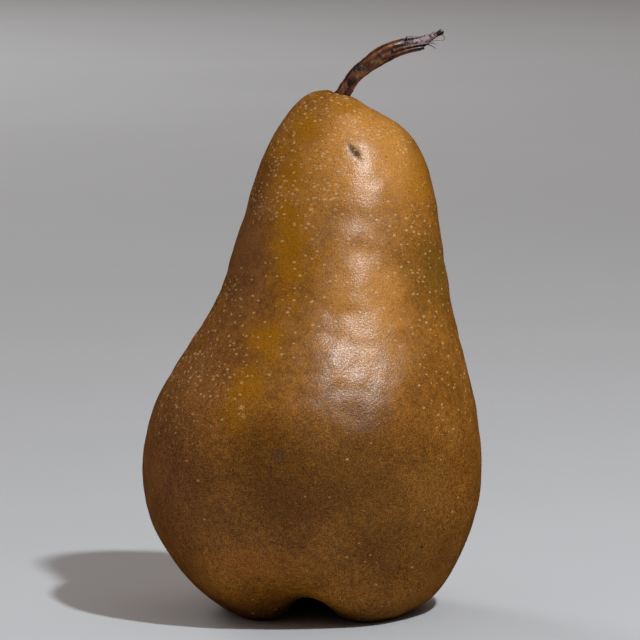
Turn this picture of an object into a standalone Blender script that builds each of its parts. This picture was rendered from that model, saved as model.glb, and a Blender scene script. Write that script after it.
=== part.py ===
"""A ripe russet pear that stands upright: the fruit, its woody stem and the five dried leaves of its eye.

Metres, +Z up. The origin is on the floor under the middle of the belly; the stem leans towards +X and the
widest dip between the lobes that the fruit stands on faces -Y.
"""

import math

import bmesh
import bpy
from mathutils import Matrix, Vector

MM = 0.001
GAP = 0.3 * MM  # clear air between two neighbouring pieces

# The fruit's outline from the crown down to the middle of the eye, in millimetres: height, half width,
# and how far the middle of that slice sits towards the stem's side and towards the back.
OUTLINE = (
    (110.1, 0.0, 3.9, 4.8),
    (108.8, 4.9, 3.3, 4.8),
    (105.4, 9.0, 4.5, 4.8),
    (100.6, 13.9, 6.65, 4.6),
    (92.0, 18.25, 6.9, 4.0),
    (79.5, 21.65, 5.85, 2.4),
    (66.8, 24.3, 4.6, 0.6),
    (56.0, 28.95, 2.85, -0.9),
    (45.6, 33.6, 1.05, -1.5),
    (33.0, 35.8, 0.1, -0.5),
    (20.6, 34.55, -0.2, 0.5),
    (10.6, 30.25, 0.5, 0.7),
    (2.6, 24.0, 1.8, 0.5),
    (-1.7, 16.2, 2.0, 0.2),
    (2.0, 9.8, 0.9, 0.0),
    (6.2, 5.2, 0.3, 0.0),
    (7.4, 0.0, 0.3, 0.0),
)
OUTLINE_STEPS = 800  # fine steps used to measure the outline's length
DEPTH_SHARE = 0.972  # the fruit is a little flatter from front to back than from side to side
AROUND = 32  # columns of the cage
DOWN = 29  # rows of the cage from crown to eye
CAGE_SWELL = 1.0062  # makes up for what the smoothing takes off the girth

# Dips between the lobes round the eye: bearing in degrees, depth in millimetres, how many degrees
# the dip runs on to its left and to its right, and how far it runs out on to the belly in millimetres.
DIPS = (
    (-103.0, 8.0, 21.0, 38.0, 21.0),
    (-8.0, 1.9, 26.0, 32.0, 7.0),
    (54.0, 2.1, 28.0, 30.0, 8.0),
    (122.0, 1.9, 30.0, 28.0, 8.0),
    (-168.0, 1.9, 28.0, 26.0, 8.0),
)
DIP_CREST = 14.5 * MM  # distance from the axis at which a dip is deepest
DIP_INNER = 8.0 * MM  # it dies out this far towards the eye
DIP_FLOOR = 1.12  # over 1 where the middle of a dip stays level for a little before it rises
UNDERSIDE = (0.66, 0.08)  # share of the way down where the dips start, and over which they come in

# The five lobes that push the lower belly out.
LOBES = 5
LOBE_SWELL = 0.55 * MM
LOBE_BEARING = math.radians(-64.0)
LOBE_START = (0.5, 0.25)  # share of the way down where they start, and over which they come in
LOBE_END = (0.93, 0.1)  # share of the way down where they end, and over which they fade

# Soft waves in the flesh: waves round, waves down, phase in degrees, height in millimetres.
WAVES = (
    (2, 1.5, 40.0, 0.28),
    (3, 2.5, 155.0, 0.22),
    (4, 4.0, 250.0, 0.16),
)
WAVE_RAMP = 0.12  # share of the way down over which the waves come in and fade
WAVE_END = 0.8  # share of the way down where they end

# The seat the stem grows from.
STEM_FOOT = Vector((5.0, 5.0, 106.5)) * MM
SEAT_POINTS = 3  # how many points of the stem's run the seat follows
WELD = 0.01 * MM  # points nearer than this are one

# The block below the floor that trims the lobes flat.
BLOCK_WIDTH = 120.0 * MM
BLOCK_HEIGHT = 20.0 * MM

# The stem from its foot, in millimetres: sideways, back, up and radius.
STEM_RUN = (
    (0.0, 0.0, 0.0, 1.55),
    (1.5, 0.0, 2.7, 1.42),
    (4.4, 0.0, 7.1, 1.48),
    (7.4, 0.1, 9.3, 1.62),
    (10.1, 0.2, 10.8, 1.66),
    (13.5, 0.3, 12.0, 1.72),
    (17.4, 0.3, 13.0, 1.78),
    (19.2, 0.2, 13.7, 1.25),
    (20.2, 0.1, 14.4, 0.50),
    (22.1, 0.0, 15.1, 0.34),
)
STEM_SIDES = 4  # bevel resolution of the round section
STEM_STEPS = 5  # rings between two points of the run

# The five dried leaves that stand in the eye.
EYE = Vector((0.3, 0.0, 6.7)) * MM
SEPAL_COUNT = 5
SEPAL_ROOT = 1.75 * MM  # distance of a leaf's foot from the middle of the eye
SEPAL_THICKNESS = 0.42 * MM
SEPAL_ROWS = 5
SEPAL_TURN = math.radians(17.0)
SEPAL_CUP = 0.25 * MM  # how far a leaf's edges droop at its foot
SEPAL_BEND = 1.5  # over 1 where the curl gathers towards the tip
SEPAL_FOOT_WIDTH = 0.72  # width of the foot as a share of the widest
SEPAL_FULL = 0.3  # share of the length at which a leaf is widest
SEPAL_TAPER = (0.25, 0.75)  # share of the length where the taper starts, and over which it runs
SEPAL_TIP_WIDTH = 0.14  # width of the tip as a share of the widest
# Length and half width in millimetres, then the slope of the foot and the added curl in degrees.
SEPALS = (
    (4.6, 1.10, 28.0, 62.0),
    (4.1, 1.05, 36.0, 58.0),
    (4.9, 1.10, 24.0, 66.0),
    (4.2, 1.00, 34.0, 44.0),
    (4.5, 1.08, 30.0, 70.0),
)


def clear_scene():
    """Take out whatever the new scene starts with."""
    for item in list(bpy.data.objects):
        bpy.data.objects.remove(item, do_unlink=True)


def make_collection(name):
    """A collection of that name, linked to the scene."""
    collection = bpy.data.collections.new(name)
    bpy.context.scene.collection.children.link(collection)
    return collection


def make_material(name, color, roughness):
    """A plain material with the piece's own colour and roughness."""
    material = bpy.data.materials.new(name)
    material.use_nodes = True
    shader = material.node_tree.nodes["Principled BSDF"]
    shader.inputs["Base Color"].default_value = (*color, 1.0)
    shader.inputs["Roughness"].default_value = roughness
    shader.inputs["Metallic"].default_value = 0.0
    return material


def add_mesh(name, bm, collection, material=None):
    """Turn a bmesh into a smooth-shaded object of that name."""
    bmesh.ops.recalc_face_normals(bm, faces=bm.faces)
    mesh = bpy.data.meshes.new(name)
    bm.to_mesh(mesh)
    bm.free()
    mesh.shade_smooth()
    item = bpy.data.objects.new(name, mesh)
    collection.objects.link(item)
    if material is not None:
        mesh.materials.append(material)
    return item


def add_subdivision(item, levels):
    """Smooth a coarse cage."""
    modifier = item.modifiers.new("smooth", "SUBSURF")
    modifier.levels = levels
    modifier.render_levels = levels


def smooth_step(value):
    """0 below 0, 1 above 1, and an even ramp between."""
    value = min(max(value, 0.0), 1.0)
    return value * value * (3.0 - 2.0 * value)


def spline(points, place):
    """A point on the smooth curve through the given points; place runs from 0 to 1 over all of them."""
    spans = len(points) - 1
    first = min(int(place * spans), spans - 1)
    t = place * spans - first
    b = Vector(points[first])
    c = Vector(points[first + 1])
    a = Vector(points[first - 1]) if first > 0 else mirrored(points[1])
    d = Vector(points[first + 2]) if first + 2 <= spans else mirrored(points[-2])
    return 0.5 * (2 * b + (c - a) * t + (2 * a - 5 * b + 4 * c - d) * t**2 + (3 * b - a - 3 * c + d) * t**3)


def mirrored(station):
    """The station just across the axis, so the outline crosses the axis level."""
    height, half_width, lean, back = station
    return Vector((height, -half_width, lean, back))


def outline_rows(count):
    """Stations spread evenly along the outline, by its own length."""
    fine = [spline(OUTLINE, i / OUTLINE_STEPS) for i in range(OUTLINE_STEPS + 1)]
    reach = [0.0]
    for i in range(1, len(fine)):
        reach.append(reach[-1] + (fine[i].xy - fine[i - 1].xy).length)
    rows = []
    at = 0
    for i in range(count + 1):
        target = reach[-1] * i / count
        while at < len(reach) - 1 and reach[at] < target:
            at += 1
        rows.append(fine[at] * MM)
    return rows


def turn_between(bearing, other):
    """How far one bearing is anticlockwise of another, in degrees from -180 to 180."""
    return (bearing - other + 180.0) % 360.0 - 180.0


def dip_lift(bearing, radius):
    """How far the dips between the lobes raise the underside; bearing in degrees, radius from the axis."""
    lift = 0.0
    for middle, deep, left, right, outer in DIPS:
        turn = turn_between(bearing, middle)
        reach = right if turn > 0.0 else left
        run = outer * MM if radius > DIP_CREST else DIP_INNER
        fade = smooth_step(1.0 - abs(radius - DIP_CREST) / run)
        lift += deep * MM * fade * smooth_step(DIP_FLOOR * (1.0 - abs(turn) / reach))
    return lift


def ramp_in(share, start):
    """0 before the start and 1 once the ramp is over; start holds where it begins and how long it is."""
    return smooth_step((share - start[0]) / start[1])


def ramp_out(share, end):
    """1 until the fade begins and 0 at the end; end holds where it is over and how long it is."""
    return smooth_step((end[0] - share) / end[1])


def fruit_point(row, share, bearing):
    """A point of the fruit's skin: its row, how far down it is from 0 to 1, and its bearing in radians."""
    height, radius, lean, back = row
    low = ramp_in(share, LOBE_START) * ramp_out(share, LOBE_END)
    swell = LOBE_SWELL * low * math.cos(LOBES * (bearing - LOBE_BEARING))
    waves = 0.0
    for around, down, phase, size in WAVES:
        turn = around * bearing + math.radians(phase) + down * 2.0 * math.pi * share
        waves += size * MM * math.sin(turn)
    waves *= ramp_in(share, (0.0, WAVE_RAMP)) * ramp_out(share, (WAVE_END, WAVE_RAMP))
    girth = radius * CAGE_SWELL + (swell + waves if radius > 0.0 else 0.0)
    lift = ramp_in(share, UNDERSIDE) * dip_lift(math.degrees(bearing), radius)
    across = lean + girth * math.cos(bearing)
    behind = back + girth * math.sin(bearing) * DEPTH_SHARE
    return Vector((across, behind, height + lift))


def make_fruit(collection, material):
    """The fruit's flesh and skin: a coarse cage on the outline, smoothed."""
    bm = bmesh.new()
    bmesh.ops.create_uvsphere(bm, u_segments=AROUND, v_segments=DOWN, radius=1.0)
    rows = outline_rows(DOWN)
    for vert in bm.verts:
        turn = math.acos(min(max(vert.co.z, -1.0), 1.0)) / math.pi
        index = round(turn * DOWN)
        vert.co = fruit_point(rows[index], index / DOWN, math.atan2(vert.co.y, vert.co.x))
    fruit = add_mesh("pear_body", bm, collection, material)
    add_subdivision(fruit, 1)
    return fruit


def make_run(name, run, swell, collection):
    """A round woody run: each point gives sideways, back, up and radius in millimetres."""
    curve = bpy.data.curves.new(name, "CURVE")
    curve.dimensions = "3D"
    curve.bevel_depth = MM
    curve.bevel_resolution = STEM_SIDES
    curve.use_fill_caps = True
    curve.resolution_u = STEM_STEPS
    line = curve.splines.new("BEZIER")
    line.bezier_points.add(len(run) - 1)
    for point, (x, y, z, radius) in zip(line.bezier_points, run):
        point.co = Vector((x, y, z)) * MM
        point.radius = radius + swell / MM
        point.handle_left_type = "AUTO"
        point.handle_right_type = "AUTO"
    holder = bpy.data.objects.new(name + "_run", curve)
    collection.objects.link(holder)
    bpy.context.view_layer.update()
    seen = holder.evaluated_get(bpy.context.evaluated_depsgraph_get())
    mesh = bpy.data.meshes.new_from_object(seen)
    bpy.data.objects.remove(holder, do_unlink=True)
    bm = bmesh.new()
    bm.from_mesh(mesh)
    bmesh.ops.remove_doubles(bm, verts=bm.verts, dist=WELD)
    return bm


def make_stem(collection, material):
    """The stalk: it rises from its seat, bends over to one side and ends in a knob with a snapped twig."""
    bm = make_run("stem", STEM_RUN, 0.0, collection)
    stem = add_mesh("stem", bm, collection, material)
    stem.location = STEM_FOOT
    return stem


def make_seat_cutter(cutters):
    """The hole in the crown that holds the stem's foot with air all round it."""
    start = Vector(STEM_RUN[0][:3])
    along = (Vector(STEM_RUN[1][:3]) - start).normalized()
    below = start - along * (GAP / MM)
    run = ((*below, STEM_RUN[0][3]), *STEM_RUN[:SEAT_POINTS])
    bm = make_run("seat", run, GAP, cutters)
    cutter = add_mesh("seat_cutter", bm, cutters)
    cutter.location = STEM_FOOT
    return cutter


def make_floor_cutter(cutters):
    """The block below the floor that leaves each lobe a small flat to stand on."""
    bm = bmesh.new()
    bmesh.ops.create_cube(bm, size=1.0)
    bmesh.ops.scale(bm, vec=(BLOCK_WIDTH, BLOCK_WIDTH, BLOCK_HEIGHT), verts=bm.verts)
    bmesh.ops.translate(bm, vec=(0.0, 0.0, -BLOCK_HEIGHT / 2.0), verts=bm.verts)
    return add_mesh("floor_cutter", bm, cutters)


def cut(item, cutter):
    """Take the cutter's shape out of a piece."""
    cutter.hide_render = True
    cutter.display_type = "WIRE"
    modifier = item.modifiers.new(cutter.name, "BOOLEAN")
    modifier.operation = "DIFFERENCE"
    modifier.solver = "EXACT"
    modifier.object = cutter


def sepal_half_width(share):
    """Half width of a dried leaf as a share of its widest: narrow foot, full middle, pointed tip."""
    widening = (1.0 - SEPAL_FOOT_WIDTH) * smooth_step(share / SEPAL_FULL)
    return SEPAL_FOOT_WIDTH + widening - (1.0 - SEPAL_TIP_WIDTH) * ramp_in(share, SEPAL_TAPER)


def make_sepal(number, collection, material):
    """One dried leaf of the eye, bent outwards and down."""
    length, half_width, slope, curl = SEPALS[number - 1]
    bm = bmesh.new()
    bmesh.ops.create_grid(bm, x_segments=SEPAL_ROWS, y_segments=2, size=1.0)
    step = length * MM / SEPAL_ROWS
    reach = Vector((SEPAL_ROOT, 0.0, 0.0))
    spine = [reach.copy()]
    for i in range(SEPAL_ROWS):
        angle = math.radians(slope + curl * (i / (SEPAL_ROWS - 1)) ** SEPAL_BEND)
        reach = reach + Vector((math.cos(angle), 0.0, -math.sin(angle))) * step
        spine.append(reach.copy())
    for vert in bm.verts:
        share = (vert.co.x + 1.0) / 2.0
        across = vert.co.y * half_width * MM * sepal_half_width(share)
        cup = -SEPAL_CUP * vert.co.y**2 * (1.0 - share)
        vert.co = spine[round(share * SEPAL_ROWS)] + Vector((0.0, across, cup))
    leaf = add_mesh(f"sepal_{number}", bm, collection, material)
    thick = leaf.modifiers.new("thickness", "SOLIDIFY")
    thick.thickness = SEPAL_THICKNESS
    thick.offset = 0.0
    add_subdivision(leaf, 1)
    turn = SEPAL_TURN + 2.0 * math.pi * (number - 1) / SEPAL_COUNT
    leaf.matrix_world = Matrix.Translation(EYE) @ Matrix.Rotation(turn, 4, "Z")
    return leaf


def main():
    """Grow the whole pear."""
    clear_scene()
    pear = make_collection("pear")
    cutters = make_collection("cutters")
    skin = make_material("russet_skin", (0.34, 0.15, 0.035), 0.45)
    bark = make_material("stem_bark", (0.16, 0.06, 0.025), 0.4)
    dry = make_material("dried_leaf", (0.05, 0.03, 0.018), 0.8)
    fruit = make_fruit(pear, skin)
    stem = make_stem(pear, bark)
    cut(fruit, make_floor_cutter(cutters))
    cut(fruit, make_seat_cutter(cutters))
    for number in range(1, SEPAL_COUNT + 1):
        leaf = make_sepal(number, pear, dry)
        leaf.parent = fruit
    stem.parent = fruit


main()
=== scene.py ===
"""The looks of a ripe russet pear: its skin, its woody stalk, the dried leaves in its eye, and the studio.

Metres in the CAD frame: +Z up, the origin on the floor under the belly, the stalk leaning to +X and the wide
dip between the front lobes facing -Y. Sizes that are easier to read in millimetres are multiplied by MM.
"""

from __future__ import annotations

import logging
import math
from dataclasses import dataclass
from enum import Enum

import bmesh
import bpy
import numpy as np
from mathutils import Matrix, Vector


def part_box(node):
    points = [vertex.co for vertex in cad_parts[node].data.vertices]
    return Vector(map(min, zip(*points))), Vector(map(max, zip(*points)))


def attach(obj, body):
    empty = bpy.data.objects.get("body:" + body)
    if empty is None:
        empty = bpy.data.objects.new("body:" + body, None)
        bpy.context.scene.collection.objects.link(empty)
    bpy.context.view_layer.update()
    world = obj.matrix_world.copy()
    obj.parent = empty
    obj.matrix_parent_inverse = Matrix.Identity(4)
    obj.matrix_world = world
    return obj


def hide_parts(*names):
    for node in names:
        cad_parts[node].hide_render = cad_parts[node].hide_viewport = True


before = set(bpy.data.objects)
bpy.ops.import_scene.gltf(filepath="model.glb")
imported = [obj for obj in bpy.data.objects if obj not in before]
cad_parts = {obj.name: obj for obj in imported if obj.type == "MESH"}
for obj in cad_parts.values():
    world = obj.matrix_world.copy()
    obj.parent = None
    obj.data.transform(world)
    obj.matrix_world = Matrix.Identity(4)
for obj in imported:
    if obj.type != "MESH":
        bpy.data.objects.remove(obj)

MM = 0.001
TURN = 2.0 * math.pi
ROOT = "root"
LOG = logging.getLogger("pear")

Colour = tuple[float, float, float]
Triple = tuple[float, float, float]
Span = tuple[float, float]
Socket = bpy.types.NodeSocket
Tree = bpy.types.NodeTree
Material = bpy.types.Material
Item = bpy.types.Object


class Slot(Enum):
    """The record's material slots."""

    SKIN = "russet_skin"
    BARK = "stem_bark"
    LEAF = "dried_leaf"


class Node(Enum):
    """The CAD nodes that finished pieces stand for."""

    FRUIT = "pear_body"
    STALK = "stem"


LEAF_NODES = tuple(f"sepal_{number}" for number in range(1, 6))
FOOT_IN_BOX = (1.355, 1.55, 0.753)
CROWN_OVER_FOOT = (0.9, 0.0, 2.2)


# ---------------------------------------------------------------------------------------------------------
# Shader wiring
# ---------------------------------------------------------------------------------------------------------


class Wires:
    """Adds nodes to one node tree and joins them up."""

    def __init__(self, tree: Tree) -> None:
        """Take the tree that the nodes go in."""
        self.tree = tree

    def node(self, kind: str, inputs: dict | None = None, **settings: object) -> bpy.types.Node:
        """Add a node.

        Args:
            kind: The node's type, such as "ShaderNodeMath".
            inputs: What goes into its sockets, by name or place: a socket to join, or a plain value.
            **settings: Properties of the node.

        Returns:
            The new node.
        """
        made = self.tree.nodes.new(kind)
        for name, value in settings.items():
            setattr(made, name, value)
        for key, value in (inputs or {}).items():
            self.feed(made.inputs[key], value)
        return made

    def feed(self, target: Socket, value: object) -> None:
        """Join a socket to target, or set target's own value.

        Args:
            target: The input socket.
            value: An output socket, a number, a vector or a colour.
        """
        if isinstance(value, bpy.types.NodeSocket):
            self.tree.links.new(value, target)
        elif target.type == "RGBA" and len(value) == 3:
            target.default_value = (*value, 1.0)
        else:
            target.default_value = value

    def math(self, operation: str, *values: object, clamp: bool = False) -> Socket:
        """Work out a number from one to three others.

        Args:
            operation: The Math node's operation.
            *values: Sockets or plain numbers.
            clamp: Whether the result stays between 0 and 1.

        Returns:
            The result's socket.
        """
        made = self.node("ShaderNodeMath", dict(enumerate(values)), operation=operation, use_clamp=clamp)
        return made.outputs[0]

    def vector(self, operation: str, *values: object) -> Socket:
        """Work out a vector from one or two others.

        Args:
            operation: The Vector Math node's operation.
            *values: Sockets or plain vectors.

        Returns:
            The resulting vector's socket, or the number's for a length.
        """
        made = self.node("ShaderNodeVectorMath", dict(enumerate(values)), operation=operation)
        return made.outputs["Value"] if operation in ("LENGTH", "DOT_PRODUCT") else made.outputs["Vector"]

    def between(
        self, value: object, low: object, high: object, start: object = 0.0, end: object = 1.0
    ) -> Socket:
        """Turn a range of numbers into another with soft ends.

        Args:
            value: The number.
            low: Where the ramp starts.
            high: Where the ramp ends; it may be below low.
            start: The result at low.
            end: The result at high.

        Returns:
            The result's socket.
        """
        wanted = {"Value": value, "From Min": low, "From Max": high, "To Min": start, "To Max": end}
        return self.node("ShaderNodeMapRange", wanted, interpolation_type="SMOOTHSTEP").outputs["Result"]

    def mix(self, share: object, first: object, second: object, blend: str = "MIX") -> Socket:
        """Mix two colours.

        Args:
            share: How much of the second colour.
            first: A colour or its socket.
            second: A colour or its socket.
            blend: The Mix node's blend type.

        Returns:
            The mixed colour's socket.
        """
        made = self.tree.nodes.new("ShaderNodeMix")
        made.data_type = "RGBA"
        made.blend_type = blend
        self.feed(made.inputs[0], share)
        self.feed(made.inputs[6], first)
        self.feed(made.inputs[7], second)
        return made.outputs[2]

    def cover(self, colour: object, mask: Socket, share: float, tone: Colour) -> Socket:
        """Lay a tone over a colour.

        Args:
            colour: The colour below.
            mask: Where the tone lies.
            share: How far it covers at most.
            tone: The tone.

        Returns:
            The new colour's socket.
        """
        return self.mix(self.math("MULTIPLY", mask, share), colour, tone)

    def noise(self, vector: Socket, scale: object, detail: float = 2.0, roughness: float = 0.5) -> Socket:
        """Soft cloudy noise.

        Args:
            vector: Where to read it.
            scale: Lumps per metre of the vector.
            detail: Number of finer layers.
            roughness: How strong the finer layers are.

        Returns:
            The socket of a number round one half.
        """
        wanted = {"Vector": vector, "Scale": scale, "Detail": detail, "Roughness": roughness}
        return self.node("ShaderNodeTexNoise", wanted).outputs["Fac"]

    def bump(self, shader: bpy.types.Node, height: Socket, strength: float, depth: float) -> None:
        """Give a shader its bumps.

        Args:
            shader: The material's shader.
            height: The bumps' height, about 0 to 1.
            strength: How strongly they show.
            depth: How deep they are, in metres.
        """
        made = self.node("ShaderNodeBump", {"Strength": strength, "Distance": depth, "Height": height})
        self.feed(shader.inputs["Normal"], made.outputs["Normal"])

    def use(self, group: Tree, **inputs: object) -> bpy.types.Node:
        """Place a node group.

        Args:
            group: The group's tree.
            **inputs: Its inputs by name.

        Returns:
            The group node.
        """
        made = self.tree.nodes.new("ShaderNodeGroup")
        made.node_tree = group
        for name, value in inputs.items():
            self.feed(made.inputs[name], value)
        return made


@dataclass(frozen=True)
class Effect:
    """A shader node group under construction: its tree, its wires and the sockets that come in."""

    tree: Tree
    wires: Wires
    inputs: bpy.types.NodeOutputs

    @classmethod
    def start(cls, name: str, inputs: dict[str, tuple[str, object]]) -> Effect:
        """Begin a node group.

        Args:
            name: The group's name.
            inputs: Each input's socket type and default value, by name.

        Returns:
            The effect, ready for its nodes.
        """
        tree = bpy.data.node_groups.new(name, "ShaderNodeTree")
        for label, (kind, value) in inputs.items():
            socket = tree.interface.new_socket(label, in_out="INPUT", socket_type=kind)
            socket.default_value = value
        return cls(tree, Wires(tree), tree.nodes.new("NodeGroupInput").outputs)

    def finish(self, **outputs: Socket) -> Tree:
        """Give the group its outputs, all of them numbers.

        Args:
            **outputs: The sockets that go out, by name.

        Returns:
            The finished group's tree.
        """
        for label in outputs:
            self.tree.interface.new_socket(label, in_out="OUTPUT", socket_type="NodeSocketFloat")
        end = self.tree.nodes.new("NodeGroupOutput")
        for label, socket in outputs.items():
            self.tree.links.new(socket, end.inputs[label])
        return self.tree


class Effects:
    """The node groups that the finishes share, each built once."""

    def __init__(self) -> None:
        """Build every group."""
        self.patch = self._patch()
        self.dots = self._dots()
        self.grain = self._grain()
        self.mottle = self._mottle()

    def clouds(self, wires: Wires, place: Socket, scale: float, span: Span = (0.35, 0.65)) -> Socket:
        """Cloudy tone.

        Args:
            wires: The material's wires.
            place: Where to read it.
            scale: Clouds per metre.
            span: The noise that comes out as 0 and as 1.

        Returns:
            The socket of a number from 0 to 1.
        """
        wanted = {"Position": place, "Per Metre": scale, "Low": span[0], "High": span[1]}
        return wires.use(self.mottle, **wanted).outputs["Tone"]

    def grains(self, wires: Wires, place: Socket, scale: float) -> tuple[Socket, Socket]:
        """Fine grain.

        Args:
            wires: The material's wires.
            place: Where to read it.
            scale: Grains per metre.

        Returns:
            The grain's height and its fleck mask.
        """
        made = wires.use(self.grain, **{"Position": place, "Per Metre": scale})
        return made.outputs["Height"], made.outputs["Fleck"]

    def spots(self, wires: Wires, place: Socket, lot: tuple[float, float, Socket | float]) -> Socket:
        """Scattered dots.

        Args:
            wires: The material's wires.
            place: Where to read them.
            lot: Cells per metre, the dots' radius in cells, and the share of cells with a dot.

        Returns:
            The mask's socket.
        """
        scale, radius, share = lot
        wanted = {"Position": place, "Per Metre": scale, "Radius": radius, "Share": share}
        return wires.use(self.dots, **wanted).outputs["Mask"]

    @staticmethod
    def _patch() -> Tree:
        """A ragged soft-edged patch round a place on the surface."""
        effect = Effect.start(
            "soft_patch",
            {
                "Position": ("NodeSocketVector", (0.0, 0.0, 0.0)),
                "Middle": ("NodeSocketVector", (0.0, 0.0, 0.0)),
                "Spread": ("NodeSocketVector", (100.0, 100.0, 100.0)),
                "Ragged": ("NodeSocketFloat", 0.5),
                "Lump": ("NodeSocketFloat", 160.0),
            },
        )
        wires = effect.wires
        away = wires.vector("SUBTRACT", effect.inputs["Position"], effect.inputs["Middle"])
        away = wires.vector("MULTIPLY", away, effect.inputs["Spread"])
        reach = wires.vector("LENGTH", away)
        cloud = wires.noise(effect.inputs["Position"], effect.inputs["Lump"], 4.0, 0.6)
        swing = wires.math("MULTIPLY", wires.math("SUBTRACT", cloud, 0.5), effect.inputs["Ragged"])
        edge = wires.math("ADD", reach, wires.math("MULTIPLY", swing, 2.0))
        return effect.finish(Mask=wires.between(edge, 1.0, 0.25))

    @staticmethod
    def _dots() -> Tree:
        """Scattered round dots of uneven size."""
        effect = Effect.start(
            "scattered_dots",
            {
                "Position": ("NodeSocketVector", (0.0, 0.0, 0.0)),
                "Per Metre": ("NodeSocketFloat", 650.0),
                "Radius": ("NodeSocketFloat", 0.22),
                "Share": ("NodeSocketFloat", 0.7),
            },
        )
        wires = effect.wires
        cells = wires.node(
            "ShaderNodeTexVoronoi",
            {"Vector": effect.inputs["Position"], "Scale": effect.inputs["Per Metre"], "Randomness": 1.0},
        )
        lot = wires.node("ShaderNodeSeparateColor", {"Color": cells.outputs["Color"]})
        uneven = wires.between(lot.outputs[1], 0.0, 1.0, 0.5, 1.2)
        size = wires.math("MULTIPLY", effect.inputs["Radius"], uneven)
        inner = wires.math("MULTIPLY", size, 0.6)
        dot = wires.between(cells.outputs["Distance"], size, inner)
        chosen = wires.math("LESS_THAN", lot.outputs[0], effect.inputs["Share"])
        return effect.finish(Mask=wires.math("MULTIPLY", dot, chosen))

    @staticmethod
    def _grain() -> Tree:
        """A fine pebbled grain: a height for bumps and a fleck mask for colour."""
        effect = Effect.start(
            "fine_grain",
            {
                "Position": ("NodeSocketVector", (0.0, 0.0, 0.0)),
                "Per Metre": ("NodeSocketFloat", 2200.0),
            },
        )
        wires = effect.wires
        fine = wires.noise(effect.inputs["Position"], effect.inputs["Per Metre"], 2.0, 0.6)
        coarser = wires.math("MULTIPLY", effect.inputs["Per Metre"], 0.7)
        pebble = wires.node(
            "ShaderNodeTexVoronoi",
            {"Vector": effect.inputs["Position"], "Scale": coarser},
            feature="SMOOTH_F1",
        )
        pebbles = wires.between(pebble.outputs["Distance"], 0.9, 0.1)
        height = wires.math("ADD", wires.math("MULTIPLY", fine, 0.6), wires.math("MULTIPLY", pebbles, 0.4))
        return effect.finish(Height=height, Fleck=wires.between(fine, 0.36, 0.64))

    @staticmethod
    def _mottle() -> Tree:
        """Large cloudy changes of tone."""
        effect = Effect.start(
            "cloudy_tone",
            {
                "Position": ("NodeSocketVector", (0.0, 0.0, 0.0)),
                "Per Metre": ("NodeSocketFloat", 60.0),
                "Low": ("NodeSocketFloat", 0.35),
                "High": ("NodeSocketFloat", 0.65),
            },
        )
        wires = effect.wires
        cloud = wires.noise(effect.inputs["Position"], effect.inputs["Per Metre"], 5.0, 0.62)
        return effect.finish(Tone=wires.between(cloud, effect.inputs["Low"], effect.inputs["High"]))


def begin_material(name: str) -> tuple[Material, Wires, bpy.types.Node, Socket]:
    """Start a material on a Principled BSDF.

    Args:
        name: The material's name.

    Returns:
        The material, the wires of its tree, its shader, and the position on the object.
    """
    material = bpy.data.materials.new(name)
    material.use_nodes = True
    shader = material.node_tree.nodes["Principled BSDF"]
    wires = Wires(material.node_tree)
    return material, wires, shader, wires.node("ShaderNodeTexCoord").outputs["Object"]


# ---------------------------------------------------------------------------------------------------------
# Finishes
# ---------------------------------------------------------------------------------------------------------


@dataclass(frozen=True)
class Patch:
    """A stretch of surface with a tone laid on it, in millimetres; some are the skin's own colour and some
    are painted light or painted shade. Lumps per metre ruffle its edge.
    """

    middle: Triple
    reach: Triple
    colour: Colour
    strength: float
    ragged: float = 0.5
    lump: float = 160.0

    def mask(
        self, wires: Wires, effects: Effects, place: Socket, origin: Triple | Vector = (0.0, 0.0, 0.0)
    ) -> Socket:
        """Find where the patch lies.

        Args:
            wires: The material's wires.
            effects: The shared node groups.
            place: The position on the object.
            origin: What the middle is measured from.

        Returns:
            The mask's socket.
        """
        made = wires.use(
            effects.patch,
            Position=place,
            Middle=tuple(part * MM + start for part, start in zip(self.middle, origin)),
            Spread=tuple(1.0 / (size * MM) for size in self.reach),
            Ragged=self.ragged,
            Lump=self.lump,
        )
        return made.outputs["Mask"]


OCHRE: Colour = (0.42, 0.154, 0.002)
# Amber: partly the skin's own orange and partly painted light on one swelling.
AMBER_AND_PAINTED_LIGHT: Colour = (0.42, 0.135, 0.010)
OLIVE: Colour = (0.22, 0.105, 0.008)
PLUM: Colour = (0.195, 0.078, 0.046)
# Painted light: the lighter sand laid on the neck and crown.
PAINTED_LIGHT_SAND: Colour = (0.76, 0.31, 0.055)
# Umber: the own colour of the tiny dark specks, and also painted shade on the lower belly.
UMBER_AND_SHADE: Colour = (0.130, 0.044, 0.001)
# Husk: the own colour of the dark cork crumbs, pits and bark marks, and also painted shade at the base and in
# the eye underneath.
HUSK_AND_SHADE: Colour = (0.035, 0.018, 0.010)
CREAM: Colour = (0.76, 0.47, 0.18)
SPECK: Colour = (0.50, 0.210, 0.004)
SCAR: Colour = (0.075, 0.030, 0.007)
BRUISE: Colour = (0.11, 0.048, 0.018)
STRAW: Colour = (0.44, 0.25, 0.09)
LILAC: Colour = (0.42, 0.29, 0.31)
GRAPE: Colour = (0.032, 0.015, 0.020)


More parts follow.
